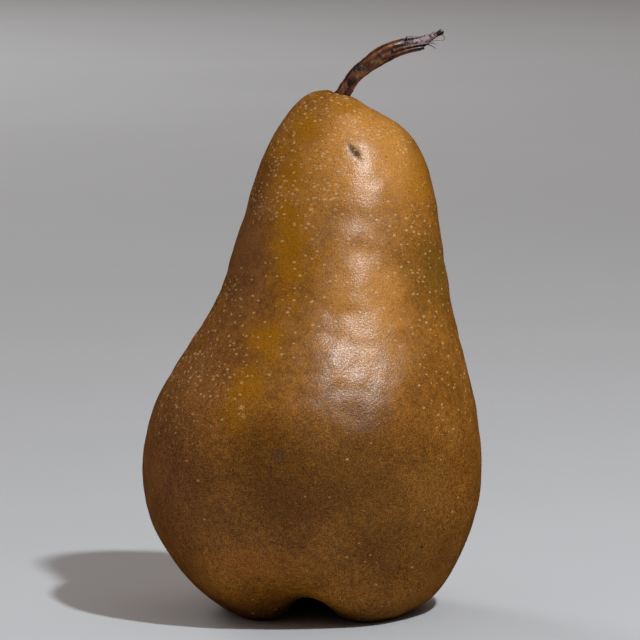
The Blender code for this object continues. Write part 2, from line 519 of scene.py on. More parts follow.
@dataclass(frozen=True)
class SkinFinish:
    """Russet pear skin: golden brown, cloudy, finely pebbled, with pale breathing dots and old marks. Some
    patches are painted shade, low on the belly, at the base and in the eye, and some are painted light on the
    neck and crown.

    Scales are lumps per metre, edges are where a mask starts and ends, and dots are given as cells per metre,
    radius in cells and share of cells. Flecks and spans say what the grain's lowest and highest places do to
    the tone or the roughness.
    """

    gold: Colour = (0.375, 0.142, 0.016)
    brown: Colour = (0.285, 0.101, 0.008)
    roughness: float = 0.37
    ior: float = 1.42
    gloss: float = 0.5
    scar_gloss: float = 0.08
    grain_scale: float = 3900.0
    cloud_scale: float = 75.0
    freckle_scale: float = 800.0
    freckle_edges: Span = (0.3, 0.7)
    freckle_span: tuple[Colour, Colour] = ((0.74, 0.70, 0.66), (1.20, 1.19, 1.17))
    neck_flecks: Span = (0.74, 1.22)
    belly_flecks: Span = (0.55, 1.50)
    neck_above: float = 65.0 * MM
    belly_below: float = 35.0 * MM
    rough_span: Span = (0.07, -0.06)
    ochre_smoother: float = 0.07
    dot_rougher: float = 0.12
    seat_share: float = 0.75
    scar_limit: float = 0.8
    speck_share: float = 0.46
    small_share: float = 0.58
    small_weight: float = 0.4
    large_share: float = 0.58
    large_everywhere: float = 0.02
    pitted_share: float = 0.22
    dot_flatness: Triple = (1.0, 1.0, 1.6)
    small_dots: tuple[float, float, float] = (1250.0, 0.27, 0.75)
    large_dots: Span = (820.0, 0.36)
    specks: tuple[float, float, float] = (1500.0, 0.32, 0.5)
    pit_dots: Span = (620.0, 0.2)
    seat_edges: Span = (2.9 * MM, 1.9 * MM)
    crumb_scale: float = 1500.0
    crumb_reach: float = 2.4 * MM
    pit_share: float = 0.8
    dot_height: float = 0.35
    pit_depth: float = 0.9
    bump_strength: float = 0.65
    bump_depth: float = 0.11 * MM
    patches: tuple[Patch, ...] = (
        Patch((-30.0, 0.0, 42.0), (24.0, 60.0, 52.0), PLUM, 0.38, 0.35, 60.0),
        Patch((-13.0, -6.0, 76.0), (8.0, 30.0, 26.0), PLUM, 0.40, 0.45, 120.0),
        # Painted shade: darker umber over the lower belly and lower flanks, where less light falls.
        Patch((4.0, -34.0, 33.0), (34.0, 24.0, 19.0), UMBER_AND_SHADE, 0.66, 0.4, 70.0),
        Patch((19.0, -25.0, 18.0), (22.0, 22.0, 14.0), UMBER_AND_SHADE, 0.50, 0.5, 80.0),
        Patch((-9.0, -26.0, 3.0), (17.0, 18.0, 9.0), UMBER_AND_SHADE, 0.60, 0.5, 110.0),
        Patch((-27.0, -18.0, 17.0), (12.0, 16.0, 14.0), UMBER_AND_SHADE, 0.45, 0.5, 90.0),
        # Painted shade: darkening towards the base, where the fruit sits on the floor.
        Patch((0.0, -14.0, -2.0), (60.0, 60.0, 9.0), HUSK_AND_SHADE, 0.60, 0.3, 90.0),
        # Painted light: lighter sand on the crown and neck, where the light falls, and under the highlight
        # band.
        Patch((12.0, -8.0, 97.0), (16.0, 20.0, 23.0), PAINTED_LIGHT_SAND, 0.76, 0.4, 90.0),
        Patch((11.0, -23.0, 68.0), (15.0, 16.0, 28.0), PAINTED_LIGHT_SAND, 0.62, 0.5, 110.0),
        Patch((0.0, -12.0, 90.0), (14.0, 16.0, 22.0), PAINTED_LIGHT_SAND, 0.30, 0.6, 120.0),
        Patch((-5.0, -10.5, 93.5), (4.6, 14.0, 8.0), OCHRE, 0.95, 0.9, 230.0),
        Patch((-4.8, -13.5, 84.5), (4.8, 14.0, 6.5), OCHRE, 0.95, 0.9, 230.0),
        Patch((-4.2, -17.0, 77.0), (5.8, 14.0, 8.5), OCHRE, 0.95, 0.9, 210.0),
        Patch((-5.0, -21.0, 69.0), (4.0, 12.0, 7.0), OCHRE, 0.50, 0.9, 210.0),
        Patch((-9.0, -25.0, 59.5), (5.4, 12.0, 7.0), OCHRE, 0.85, 0.9, 200.0),
        Patch((-13.0, -28.0, 51.5), (5.2, 12.0, 6.5), OCHRE, 0.85, 0.9, 200.0),
        Patch((-16.0, -29.5, 45.5), (4.6, 12.0, 5.5), OCHRE, 0.60, 0.9, 200.0),
        Patch((-1.5, -4.0, 102.5), (6.0, 9.0, 4.6), OCHRE, 0.85, 0.8, 260.0),
        Patch((7.6, -1.4, 106.6), (4.6, 6.0, 2.3), OCHRE, 0.80, 0.8, 300.0),
        Patch((25.0, -8.0, 72.0), (7.0, 14.0, 11.0), OLIVE, 0.65, 0.7, 150.0),
        Patch((22.5, -5.0, 91.0), (4.6, 11.0, 9.0), OCHRE, 0.50, 0.8, 180.0),
        # Partly the skin's own orange and partly painted light: a lighter amber on the swelling above the
        # left lobe.
        Patch((-12.5, -28.5, 15.5), (7.5, 9.0, 6.0), AMBER_AND_PAINTED_LIGHT, 0.60, 0.6, 140.0),
        Patch((25.0, -24.0, 32.0), (7.0, 9.0, 6.0), OLIVE, 0.30, 0.6, 170.0),
        Patch((-6.7, -34.5, 37.7), (2.6, 4.0, 1.8), BRUISE, 0.55, 0.8, 260.0),
        Patch((9.0, -10.3, 97.6), (1.9, 3.0, 2.1), SCAR, 0.35, 0.5, 600.0),
        Patch((7.9, -9.6, 99.0), (0.80, 2.5, 0.90), SCAR, 0.55, 0.3, 900.0),
        Patch((8.3, -9.9, 98.4), (0.85, 2.5, 0.95), SCAR, 0.80, 0.3, 900.0),
        Patch((8.8, -10.2, 97.8), (0.90, 2.5, 0.95), SCAR, 0.95, 0.3, 900.0),
        Patch((9.3, -10.5, 97.2), (0.90, 2.5, 0.95), SCAR, 0.95, 0.3, 900.0),
        Patch((9.8, -10.8, 96.6), (0.80, 2.5, 0.90), SCAR, 0.60, 0.3, 900.0),
        Patch((10.3, -11.0, 96.0), (0.70, 2.5, 0.80), SCAR, 0.35, 0.3, 900.0),
        Patch((-14.3, -30.2, 47.0), (0.9, 2.0, 0.7), CREAM, 0.55, 0.9, 900.0),
        Patch((-13.7, -30.8, 45.3), (0.6, 2.0, 0.8), CREAM, 0.50, 0.9, 900.0),
        # Painted shade: darkening round the eye, in the hollow underneath.
        Patch((0.3, 0.0, 6.5), (9.5, 9.5, 6.5), HUSK_AND_SHADE, 0.80, 0.4, 300.0),
    )
    dotted: tuple[Patch, ...] = (
        Patch((-1.0, -3.0, 98.0), (22.0, 26.0, 27.0), CREAM, 1.0, 0.5, 120.0),
        Patch((14.0, -3.0, 102.0), (13.0, 20.0, 11.0), CREAM, 0.75, 0.5, 120.0),
        Patch((-25.0, -14.0, 58.0), (19.0, 30.0, 28.0), CREAM, 0.6, 0.5, 120.0),
        Patch((28.0, -12.0, 70.0), (13.0, 30.0, 40.0), CREAM, 0.40, 0.5, 120.0),
        Patch((6.0, -22.0, 76.0), (24.0, 24.0, 34.0), CREAM, 0.30, 0.5, 120.0),
        Patch((0.0, 40.0, 66.0), (50.0, 50.0, 60.0), CREAM, 0.45, 0.5, 80.0),
    )
    pits: Patch = Patch((20.0, -22.0, 13.0), (22.0, 22.0, 14.0), HUSK_AND_SHADE, 1.0, 0.4, 120.0)

    def material(self, effects: Effects, foot: Vector) -> Material:
        """Build the skin's material.

        Args:
            effects: The shared node groups.
            foot: Where the stalk leaves the crown.

        Returns:
            The material.
        """
        material, wires, shader, place = begin_material("russet_skin_finish")
        pebbles, fleck = effects.grains(wires, place, self.grain_scale)
        colour, ochre, scar = self._tones(wires, effects, place)
        colour = wires.cover(colour, self._seat(wires, place, foot), self.seat_share, HUSK_AND_SHADE)
        colour = wires.mix(1.0, colour, self._flecks(wires, place, fleck), "MULTIPLY")
        small, large, specks, pits = self._spots(wires, effects, place)
        for mask, share, tone in (
            (small, self.small_share, SPECK),
            (large, self.large_share, CREAM),
            (specks, self.speck_share, UMBER_AND_SHADE),
            (pits, self.pit_share, HUSK_AND_SHADE),
        ):
            colour = wires.cover(colour, mask, share, tone)
        wires.feed(shader.inputs["Base Color"], colour)
        dots = wires.math("MAXIMUM", large, wires.math("MULTIPLY", small, self.small_weight))
        span = tuple(self.roughness + swing for swing in self.rough_span)
        rough = wires.between(fleck, 0.0, 1.0, *span)
        rough = wires.math("SUBTRACT", rough, wires.math("MULTIPLY", ochre, self.ochre_smoother))
        rough = wires.math("ADD", rough, wires.math("MULTIPLY", dots, self.dot_rougher), clamp=True)
        wires.feed(shader.inputs["Roughness"], rough)
        shader.inputs["IOR"].default_value = self.ior
        gloss = wires.between(scar, 0.0, self.scar_limit, self.gloss, self.scar_gloss)
        wires.feed(shader.inputs["Specular IOR Level"], gloss)
        height = wires.math("ADD", pebbles, wires.math("MULTIPLY", dots, self.dot_height))
        height = wires.math("SUBTRACT", height, wires.math("MULTIPLY", pits, self.pit_depth))
        wires.bump(shader, height, self.bump_strength, self.bump_depth)
        return material

    def _tones(self, wires: Wires, effects: Effects, place: Socket) -> tuple[Socket, Socket, Socket]:
        """Lay the clouds, the freckles and the patches.

        Args:
            wires: The material's wires.
            effects: The shared node groups.
            place: The position on the object.

        Returns:
            The colour, and how far the ochre patches and the scar cover it.
        """
        cloud = effects.clouds(wires, place, self.cloud_scale)
        freckle = effects.clouds(wires, place, self.freckle_scale, self.freckle_edges)
        colour = wires.mix(cloud, self.brown, self.gold)
        colour = wires.mix(1.0, colour, wires.mix(freckle, *self.freckle_span), "MULTIPLY")
        covered: dict[Colour, Socket | float] = {OCHRE: 0.0, SCAR: 0.0}
        for patch in self.patches:
            share = wires.math("MULTIPLY", patch.mask(wires, effects, place), patch.strength)
            colour = wires.mix(share, colour, patch.colour)
            if patch.colour in covered:
                covered[patch.colour] = wires.math("MAXIMUM", covered[patch.colour], share)
        return colour, covered[OCHRE], covered[SCAR]

    def _flecks(self, wires: Wires, place: Socket, fleck: Socket) -> Socket:
        """Lighten and darken the skin by the grain, more on the belly than on the neck.

        Args:
            wires: The material's wires.
            place: The position on the object.
            fleck: The grain's fleck mask.

        Returns:
            The grey to multiply the colour by.
        """
        height = wires.node("ShaderNodeSeparateXYZ", {"Vector": place}).outputs["Z"]
        ends = [
            wires.between(height, self.neck_above, self.belly_below, neck, belly)
            for neck, belly in zip(self.neck_flecks, self.belly_flecks)
        ]
        grey = wires.between(fleck, 0.0, 1.0, *ends)
        return wires.node("ShaderNodeCombineColor", {0: grey, 1: grey, 2: grey}).outputs[0]

    def _seat(self, wires: Wires, place: Socket, foot: Vector) -> Socket:
        """Dark crumbs of cork round the stalk's foot.

        Args:
            wires: The material's wires.
            place: The position on the object.
            foot: Where the stalk leaves the crown.

        Returns:
            The mask's socket.
        """
        reach = wires.vector("LENGTH", wires.vector("SUBTRACT", place, tuple(foot)))
        crumbs = wires.noise(place, self.crumb_scale, detail=3.0, roughness=0.7)
        swing = wires.math("MULTIPLY", wires.math("SUBTRACT", crumbs, 0.5), self.crumb_reach)
        return wires.between(wires.math("ADD", reach, swing), *self.seat_edges)

    def _spots(self, wires: Wires, effects: Effects, place: Socket) -> tuple[Socket, ...]:
        """Scatter the pale dots, wider than tall, and the tiny dark specks and pits.

        Args:
            wires: The material's wires.
            effects: The shared node groups.
            place: The position on the object.

        Returns:
            The masks of the small dots, the large ones, the specks and the pits.
        """
        flat = wires.vector("MULTIPLY", place, self.dot_flatness)
        share: Socket | float = 0.0
        for patch in self.dotted:
            mask = wires.between(patch.mask(wires, effects, place), 0.0, 0.6, 0.0, patch.strength)
            share = wires.math("MAXIMUM", share, mask)
        share = wires.math("ADD", share, self.large_everywhere)
        pitted = wires.math("MULTIPLY", self.pits.mask(wires, effects, place), self.pitted_share)
        return (
            effects.spots(wires, flat, self.small_dots),
            effects.spots(wires, flat, (*self.large_dots, share)),
            effects.spots(wires, place, self.specks),
            effects.spots(wires, place, (*self.pit_dots, pitted)),
        )


@dataclass(frozen=True)
class BarkFinish:
    """The stalk's bark: glossy red-brown, with black and ochre stretches, a pale crust at the knob and
    painted shade on its lower side.
    """

    red: Colour = (0.200, 0.038, 0.009)
    dark: Colour = (0.018, 0.008, 0.006)
    tan: Colour = (0.38, 0.15, 0.040)
    roughness: float = 0.33
    ior: float = 1.62
    crust_rougher: float = 0.3
    rough_span: Span = (0.16, -0.05)
    cloud_scale: float = 300.0
    cloud_edges: Span = (0.54, 0.64)
    streak_scale: float = 1300.0
    streak_edges: Span = (0.42, 0.60)
    thread_scale: float = 3800.0
    grain_scale: float = 3200.0
    streak_share: float = 0.45
    cloud_share: float = 0.85
    # Painted shade: how much darker the stalk's lower side is.
    under_shade_share: float = 0.45
    thread_share: float = 0.45
    ridge_share: float = 0.5
    groove_share: float = 0.95
    pale_dots: tuple[float, float, float] = (1500.0, 0.3, 0.35)
    pale_share: float = 0.35
    base_share: float = 0.6
    grain_height: float = 0.5
    bump_strength: float = 0.7
    bump_depth: float = 0.11 * MM
    marks: tuple[Patch, ...] = (
        Patch((-0.6, -0.9, 3.0), (1.7, 3.0, 4.4), GRAPE, 0.95, 1.1, 1200.0),
        Patch((4.3, -1.2, 8.0), (3.2, 3.0, 1.7), HUSK_AND_SHADE, 0.95, 0.7, 900.0),
        Patch((5.9, -1.2, 6.4), (1.6, 2.0, 1.1), STRAW, 0.35, 1.2, 1100.0),
        Patch((9.6, -1.4, 9.0), (2.8, 2.0, 0.7), STRAW, 0.40, 1.1, 1100.0),
        Patch((16.0, -0.6, 13.9), (4.8, 5.0, 1.9), GRAPE, 0.95, 0.5, 700.0),
        Patch((18.4, -0.8, 13.9), (3.4, 4.0, 1.6), LILAC, 0.95, 2.2, 2300.0),
        Patch((18.4, -0.7, 12.1), (3.4, 3.0, 1.1), HUSK_AND_SHADE, 0.95, 0.4, 900.0),
        Patch((22.0, 0.0, 15.0), (1.7, 2.0, 1.2), HUSK_AND_SHADE, 0.90, 0.2, 900.0),
    )

    def material(self, effects: Effects, foot: Vector) -> Material:
        """Build the bark's material.

        Args:
            effects: The shared node groups.
            foot: The middle of the stalk's foot; the marks are measured from it.

        Returns:
            The material.
        """
        material, wires, shader, place = begin_material("stem_bark_finish")
        run = wires.node("ShaderNodeAttribute", attribute_name=Stalk.RUN).outputs["Vector"]
        along, groove, under = (
            wires.node("ShaderNodeAttribute", attribute_name=name).outputs["Fac"]
            for name in (Stalk.ALONG, Stalk.GROOVE, Stalk.UNDER)
        )
        cloud = effects.clouds(wires, place, self.cloud_scale, self.cloud_edges)
        streak = effects.clouds(wires, run, self.streak_scale, self.streak_edges)
        threads, thread_fleck = effects.grains(wires, run, self.thread_scale)
        grain, grain_fleck = effects.grains(wires, place, self.grain_scale)
        colour = wires.cover(self.red, streak, self.streak_share, self.tan)
        colour = wires.cover(colour, cloud, self.cloud_share, self.dark)
        # Painted shade on the stalk's lower side.
        colour = wires.cover(colour, under, self.under_shade_share, self.dark)
        colour = wires.mix(wires.between(groove, 0.60, 0.92, 0.0, self.ridge_share), colour, self.tan)
        colour = wires.mix(wires.between(groove, 0.52, 0.2, 0.0, self.groove_share), colour, self.dark)
        colour = wires.cover(colour, thread_fleck, self.thread_share, self.dark)
        crusted: Socket | float = 0.0
        for mark in self.marks:
            share = wires.math("MULTIPLY", mark.mask(wires, effects, place, foot), mark.strength)
            colour = wires.mix(share, colour, mark.colour)
            if mark.colour is LILAC:
                crusted = wires.math("MAXIMUM", crusted, share)
        colour = wires.cover(colour, effects.spots(wires, place, self.pale_dots), self.pale_share, STRAW)
        base = wires.between(wires.math("ADD", along, wires.math("MULTIPLY", streak, 0.05)), 0.17, 0.08)
        colour = wires.cover(colour, base, self.base_share, self.dark)
        wires.feed(shader.inputs["Base Color"], colour)
        span = tuple(self.roughness + swing for swing in self.rough_span)
        rough = wires.between(grain_fleck, 0.0, 1.0, *span)
        rough = wires.math("ADD", rough, wires.math("MULTIPLY", crusted, self.crust_rougher), clamp=True)
        wires.feed(shader.inputs["Roughness"], rough)
        shader.inputs["IOR"].default_value = self.ior
        height = wires.math("ADD", wires.math("MULTIPLY", grain, self.grain_height), threads)
        wires.bump(shader, height, self.bump_strength, self.bump_depth)
        return material


@dataclass(frozen=True)
class DryFinish:
    """A matt surface of two cloudy tones with a fine tooth; scales are lumps per metre."""

    name: str
    tones: tuple[Colour, Colour]
    cloud_scale: float
    cloud_span: Span
    grain_scale: float
    grain_share: float
    rough_span: Span
    bump_strength: float
    bump_depth: float

    def material(self, effects: Effects) -> Material:
        """Build the material.

        Args:
            effects: The shared node groups.

        Returns:
            The material.
        """
        material, wires, shader, place = begin_material(self.name)
        cloud = effects.clouds(wires, place, self.cloud_scale, self.cloud_span)
        height, fleck = effects.grains(wires, place, self.grain_scale)
        colour = wires.mix(cloud, *self.tones)
        colour = wires.cover(colour, fleck, self.grain_share, self.tones[0])
        wires.feed(shader.inputs["Base Color"], colour)
        wires.feed(shader.inputs["Roughness"], wires.between(fleck, 0.0, 1.0, *self.rough_span))
        wires.bump(shader, height, self.bump_strength, self.bump_depth)
        return material


DRIED_LEAF = DryFinish(
    name="dried_leaf_finish",
    tones=((0.030, 0.016, 0.010), (0.115, 0.062, 0.032)),
    cloud_scale=900.0,
    cloud_span=(0.4, 0.65),
    grain_scale=4200.0,
    grain_share=0.25,
    rough_span=(0.62, 0.88),
    bump_strength=0.8,
    bump_depth=0.12 * MM,
)
STUDIO_PAPER = DryFinish(
    name="studio_paper",
    tones=((0.605, 0.60, 0.61), (0.635, 0.63, 0.64)),
    cloud_scale=2.2,
    cloud_span=(0.2, 0.8),
    grain_scale=1400.0,
    grain_share=0.12,
    rough_span=(0.78, 0.9),
    bump_strength=0.25,
    bump_depth=0.05 * MM,
)


# ---------------------------------------------------------------------------------------------------------
# Mesh helpers
# ---------------------------------------------------------------------------------------------------------


def add_object(name: str, mesh: bpy.types.Mesh, material: Material | None = None) -> Item:
    """Put a mesh in the scene.

    Args:
        name: The object's name.
        mesh: Its mesh.
        material: Its finish, if it has one yet.

    Returns:
        The new object.
    """
    item = bpy.data.objects.new(name, mesh)
    bpy.context.scene.collection.objects.link(item)
    if material is not None:
        mesh.materials.clear()
        mesh.materials.append(material)
    return item


def bake_modifiers(item: Item) -> None:
    """Give an object the mesh that its modifiers make, and take them off."""
    bpy.context.view_layer.update()
    seen = item.evaluated_get(bpy.context.evaluated_depsgraph_get())
    mesh = bpy.data.meshes.new_from_object(seen)
    item.modifiers.clear()
    item.data = mesh


def read_points(mesh: bpy.types.Mesh) -> np.ndarray:
    """The mesh's vertices, one row each."""
    points = np.empty(len(mesh.vertices) * 3)
    mesh.vertices.foreach_get("co", points)
    return points.reshape(-1, 3)


def write_points(mesh: bpy.types.Mesh, points: np.ndarray) -> None:
    """Move the mesh's vertices."""
    mesh.vertices.foreach_set("co", points.astype(np.float32).ravel())
    mesh.update()


def read_normals(mesh: bpy.types.Mesh) -> np.ndarray:
    """The mesh's vertex normals, one row each."""
    normals = np.empty(len(mesh.vertices) * 3)
    mesh.vertex_normals.foreach_get("vector", normals)
    return normals.reshape(-1, 3)


def soft_step(value: np.ndarray) -> np.ndarray:
    """0 below 0, 1 above 1, and an even ramp between."""
    value = np.clip(value, 0.0, 1.0)
    return value * value * (3.0 - 2.0 * value)


@dataclass(frozen=True)
class Ripples:
    """Soft irregular waves: many flat waves of mixed direction and length added together.

    The shortest and longest wave are in millimetres, and the slope is the typical steepness of the sum.
    """

    lengths: Span
    slope: float
    count: int
    seed: int

    def heights(self, points: np.ndarray) -> np.ndarray:
        """The waves' height at each point, in metres."""
        chance = np.random.default_rng(self.seed)
        shortest, longest = (length * MM for length in self.lengths)
        height = np.zeros(len(points))
        each = self.slope * math.sqrt(2.0 / self.count)
        for _ in range(self.count):
            way = chance.normal(size=3)
            way /= np.linalg.norm(way)
            turn = TURN / chance.uniform(shortest, longest)
            height += each / turn * np.sin(points @ way * turn + chance.uniform(0.0, TURN))
        return height


def smooth_run(points: np.ndarray, count: int) -> np.ndarray:
    """Even steps along a smooth curve through the given rows.

    Args:
        points: The rows that the curve goes through; all their numbers are smoothed alike.
        count: How many rows come back.

    Returns:
        The rows along the curve.
    """
    padded = np.vstack([2 * points[0] - points[1], points, 2 * points[-1] - points[-2]])
    fine = []
    for i in range(len(points) - 1):
        a, b, c, d = padded[i : i + 4]
        for t in np.linspace(0.0, 1.0, 24, endpoint=False):
            bend = (2 * a - 5 * b + 4 * c - d) * t**2
            swing = (3 * b - a - 3 * c + d) * t**3
            fine.append(0.5 * (2 * b + (c - a) * t + bend + swing))
    fine.append(points[-1])
    rows = np.array(fine)
    reach = np.concatenate([[0.0], np.cumsum(np.linalg.norm(np.diff(rows[:, :3], axis=0), axis=1))])
    places = np.linspace(0.0, reach[-1], count)
    return np.stack([np.interp(places, reach, rows[:, k]) for k in range(rows.shape[1])], axis=1)


def frames_along(centres: np.ndarray, start: Vector) -> tuple[np.ndarray, np.ndarray]:
    """Two directions across a run at each of its points, carried along without twisting.

    Args:
        centres: The run's points.
        start: Roughly where the first direction looks.

    Returns:
        The two directions, one row a point each.
    """
    ways = np.gradient(centres, axis=0)
    ways /= np.linalg.norm(ways, axis=1)[:, None]
    first = np.empty_like(centres)
    carried = np.array(start)
    for i, way in enumerate(ways):
        carried = carried - way * (carried @ way)
        carried = carried / np.linalg.norm(carried)
        first[i] = carried
    return first, np.cross(ways, first)


def tube_mesh(name: str, rings: np.ndarray) -> bpy.types.Mesh:
    """A closed tube over rings of points.

    Args:
        name: The mesh's name.
        rings: Points by ring and place round the ring.

    Returns:
        The mesh, smooth shaded.
    """
    count, around, _ = rings.shape
    verts = [*map(tuple, rings.reshape(-1, 3)), tuple(rings[0].mean(0)), tuple(rings[-1].mean(0))]
    faces: list[tuple[int, ...]] = []
    for i in range(count - 1):
        for j in range(around):
            k = (j + 1) % around
            faces.append((i * around + j, i * around + k, (i + 1) * around + k, (i + 1) * around + j))
    foot, head = count * around, count * around + 1
    for j in range(around):
        k = (j + 1) % around
        faces.append((foot, k, j))
        faces.append((head, (count - 1) * around + j, (count - 1) * around + k))
    mesh = bpy.data.meshes.new(name)
    mesh.from_pydata(verts, [], faces)
    mesh.shade_smooth()
    mesh.update()
    return mesh


def thread_rings(points: np.ndarray, radius: float, end_radius: float, rows: int, around: int) -> np.ndarray:
    """The rings of a thin tapering thread.

    Args:
        points: The points that it runs through.
        radius: Its radius at the start.
        end_radius: Its radius at the end.
        rows: How many rings.
        around: How many points a ring.

    Returns:
        Points by ring and place round the ring.
    """
    centres = smooth_run(points, rows)
    across, over = frames_along(centres, Vector((0.0, 1.0, 0.2)))
    radii = np.linspace(radius, end_radius, rows)[:, None, None]
    turns = np.linspace(0.0, TURN, around, endpoint=False)[None, :, None]
    return centres[:, None] + radii * (np.cos(turns) * across[:, None] + np.sin(turns) * over[:, None])


def join_meshes(name: str, meshes: list[bpy.types.Mesh]) -> bpy.types.Mesh:
    """One mesh that holds several."""
    bm = bmesh.new()
    for mesh in meshes:
        bm.from_mesh(mesh)
        bpy.data.meshes.remove(mesh)
    joined = bpy.data.meshes.new(name)
    bm.to_mesh(joined)
    bm.free()
    joined.shade_smooth()
    return joined


# ---------------------------------------------------------------------------------------------------------
# The pear
# ---------------------------------------------------------------------------------------------------------


@dataclass(frozen=True)
class Dent:
    """A hollow, or a swelling if its depth is negative, in millimetres."""

    middle: Triple
    radius: float
    depth: float
    lip: float = 0.0


@dataclass
class Fruit:
    """The fruit's skin, drawn over the CAD fruit and modelled with its lumps, dents and folds."""

    foot: Vector
    merge: float = 0.002 * MM
    voxel: float = 0.62 * MM
    smoothing: int = 26
    plug_drop: Triple = (0.9, 0.0, 2.1)
    plug_radius: float = 3.0 * MM
    swells: Ripples = Ripples((9.0, 20.0), 0.050, 28, 5)
    lumps: Ripples = Ripples((3.0, 7.0), 0.062, 34, 11)
    dents: tuple[Dent, ...] = (
        Dent((8.2, -28.9, 55.2), 1.9, 0.24, 0.05),
        Dent((7.4, -29.8, 52.6), 1.6, 0.12),
        Dent((4.6, -26.4, 60.6), 1.7, 0.16),
        Dent((12.4, -25.7, 60.0), 2.4, 0.12),
        Dent((6.2, -28.6, 57.0), 1.3, 0.10),
        Dent((5.0, -31.0, 51.0), 2.2, 0.16),
        Dent((16.5, -11.5, 90.5), 6.0, -0.18),
        Dent((10.0, -15.5, 85.0), 4.0, 0.12),
        Dent((8.8, -21.5, 69.5), 4.6, -0.42),
        Dent((10.5, -19.0, 78.0), 2.6, 0.12),
        Dent((3.0, -18.0, 84.0), 4.0, 0.20),
        Dent((17.0, -24.0, 59.0), 3.0, 0.14),
        Dent((8.2, -9.8, 98.6), 0.75, 0.12),
        Dent((8.8, -10.2, 97.9), 0.75, 0.20),
        Dent((9.4, -10.5, 97.1), 0.80, 0.22),
        Dent((10.1, -10.9, 96.3), 0.75, 0.14),
        Dent((9.0, -33.0, 45.0), 3.0, 0.18),
        Dent((-12.5, -28.5, 16.0), 7.5, -0.5),
        Dent((-6.7, -34.5, 37.7), 3.0, 0.15),
        Dent((25.6, -23.6, 30.4), 1.6, 0.12),
        Dent((-18.0, -26.0, 50.0), 7.0, 0.25),
        Dent((-17.0, -8.0, 70.0), 6.0, 0.30),
        Dent((20.0, 20.0, 70.0), 6.0, 0.25),
        Dent((-14.0, 23.0, 60.0), 7.0, 0.30),
        Dent((6.0, 29.0, 50.0), 8.0, -0.30),
        Dent((12.0, 19.0, 88.0), 5.0, 0.30),
    )

    def build(self, finish: SkinFinish, effects: Effects) -> Item:
        """Make the skin.

        Args:
            finish: The skin's finish.
            effects: The shared node groups.

        Returns:
            The skin's object.
        """
        skin = self._draw_over_cad()
        points = read_points(skin.data)
        normals = read_normals(skin.data)
        height = self._lumps(points) + self._crown(points) + self._eye(points)
        points = points + normals * height[:, None]
        points[:, 2] = np.maximum(points[:, 2], 0.0)
        write_points(skin.data, points)
        skin.data.shade_smooth()
        skin.data.materials.clear()
        skin.data.materials.append(finish.material(effects, self.foot))
        return skin

    def _draw_over_cad(self) -> Item:
        """An even, smooth skin over the CAD fruit, closed over the hole that the CAD stalk stands in."""
        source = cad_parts[Node.FRUIT.value].data
        bm = bmesh.new()
        bm.from_mesh(source)
        bmesh.ops.remove_doubles(bm, verts=bm.verts, dist=self.merge)
        plug = Matrix.Translation(self.foot - Vector(self.plug_drop) * MM)
        bmesh.ops.create_icosphere(bm, subdivisions=3, radius=self.plug_radius, matrix=plug)
        mesh = bpy.data.meshes.new("fruit_skin")
        bm.to_mesh(mesh)
        bm.free()
        skin = add_object("fruit_skin", mesh)
        remesh = skin.modifiers.new("even", "REMESH")
        remesh.mode = "VOXEL"
        remesh.voxel_size = self.voxel
        smooth = skin.modifiers.new("smooth", "SMOOTH")
        smooth.factor = 0.5
        smooth.iterations = self.smoothing
        bake_modifiers(skin)
        return skin

    def _lumps(self, points: np.ndarray) -> np.ndarray:
        """The lumps and hollows of the flesh.

        Args:
            points: The skin's points.

        Returns:
            How far each point moves out, in metres.
        """
        high = soft_step((points[:, 2] / MM - 30.0) / 25.0)
        height = self.swells.heights(points) * (0.45 + 0.55 * high)
        height += self.lumps.heights(points) * (0.35 + 0.65 * high)
        for dent in self.dents:
            away = np.linalg.norm(points - np.array(dent.middle) * MM, axis=1) / (dent.radius * MM)
            height -= dent.depth * MM * np.exp(-(away**2))
            height += dent.lip * MM * np.exp(-(((away - 1.75) / 0.55) ** 2))
        return height

    def _crown(self, points: np.ndarray) -> np.ndarray:
        """The collar and short folds round the stalk.

        Args:
            points: The skin's points.

        Returns:
            How far each point moves out, in metres.
        """
        away = points - np.array(self.foot)
        reach = np.hypot(away[:, 0], away[:, 1]) / MM
        bearing = np.arctan2(away[:, 1], away[:, 0])
        top = soft_step((points[:, 2] / MM - 100.0) / 4.0)
        collar = 0.05 * np.exp(-(((reach - 2.6) / 0.8) ** 2)) - 0.4 * np.exp(-((reach / 1.7) ** 2))
        collar -= 0.32 * np.exp(-((reach / 7.0) ** 2))
        folds = 0.12 * np.cos(7.0 * bearing + 0.7) * np.exp(-(((reach - 3.2) / 1.6) ** 2))
        return (collar + folds) * top * MM

    @staticmethod
    def _eye(points: np.ndarray) -> np.ndarray:
        """The short folds that run into the eye underneath.

        Args:
            points: The skin's points.

        Returns:
            How far each point moves out, in metres.
        """
        reach = np.hypot(points[:, 0], points[:, 1]) / MM
        bearing = np.arctan2(points[:, 1], points[:, 0])
        low = soft_step((12.0 - points[:, 2] / MM) / 4.0)
        folds = np.cos(10.0 * bearing + 0.4 * np.sin(3.0 * bearing)) + 0.5 * np.cos(17.0 * bearing + 1.0)
        return 0.16 * folds * np.exp(-(((reach - 6.0) / 3.0) ** 2)) * low * MM


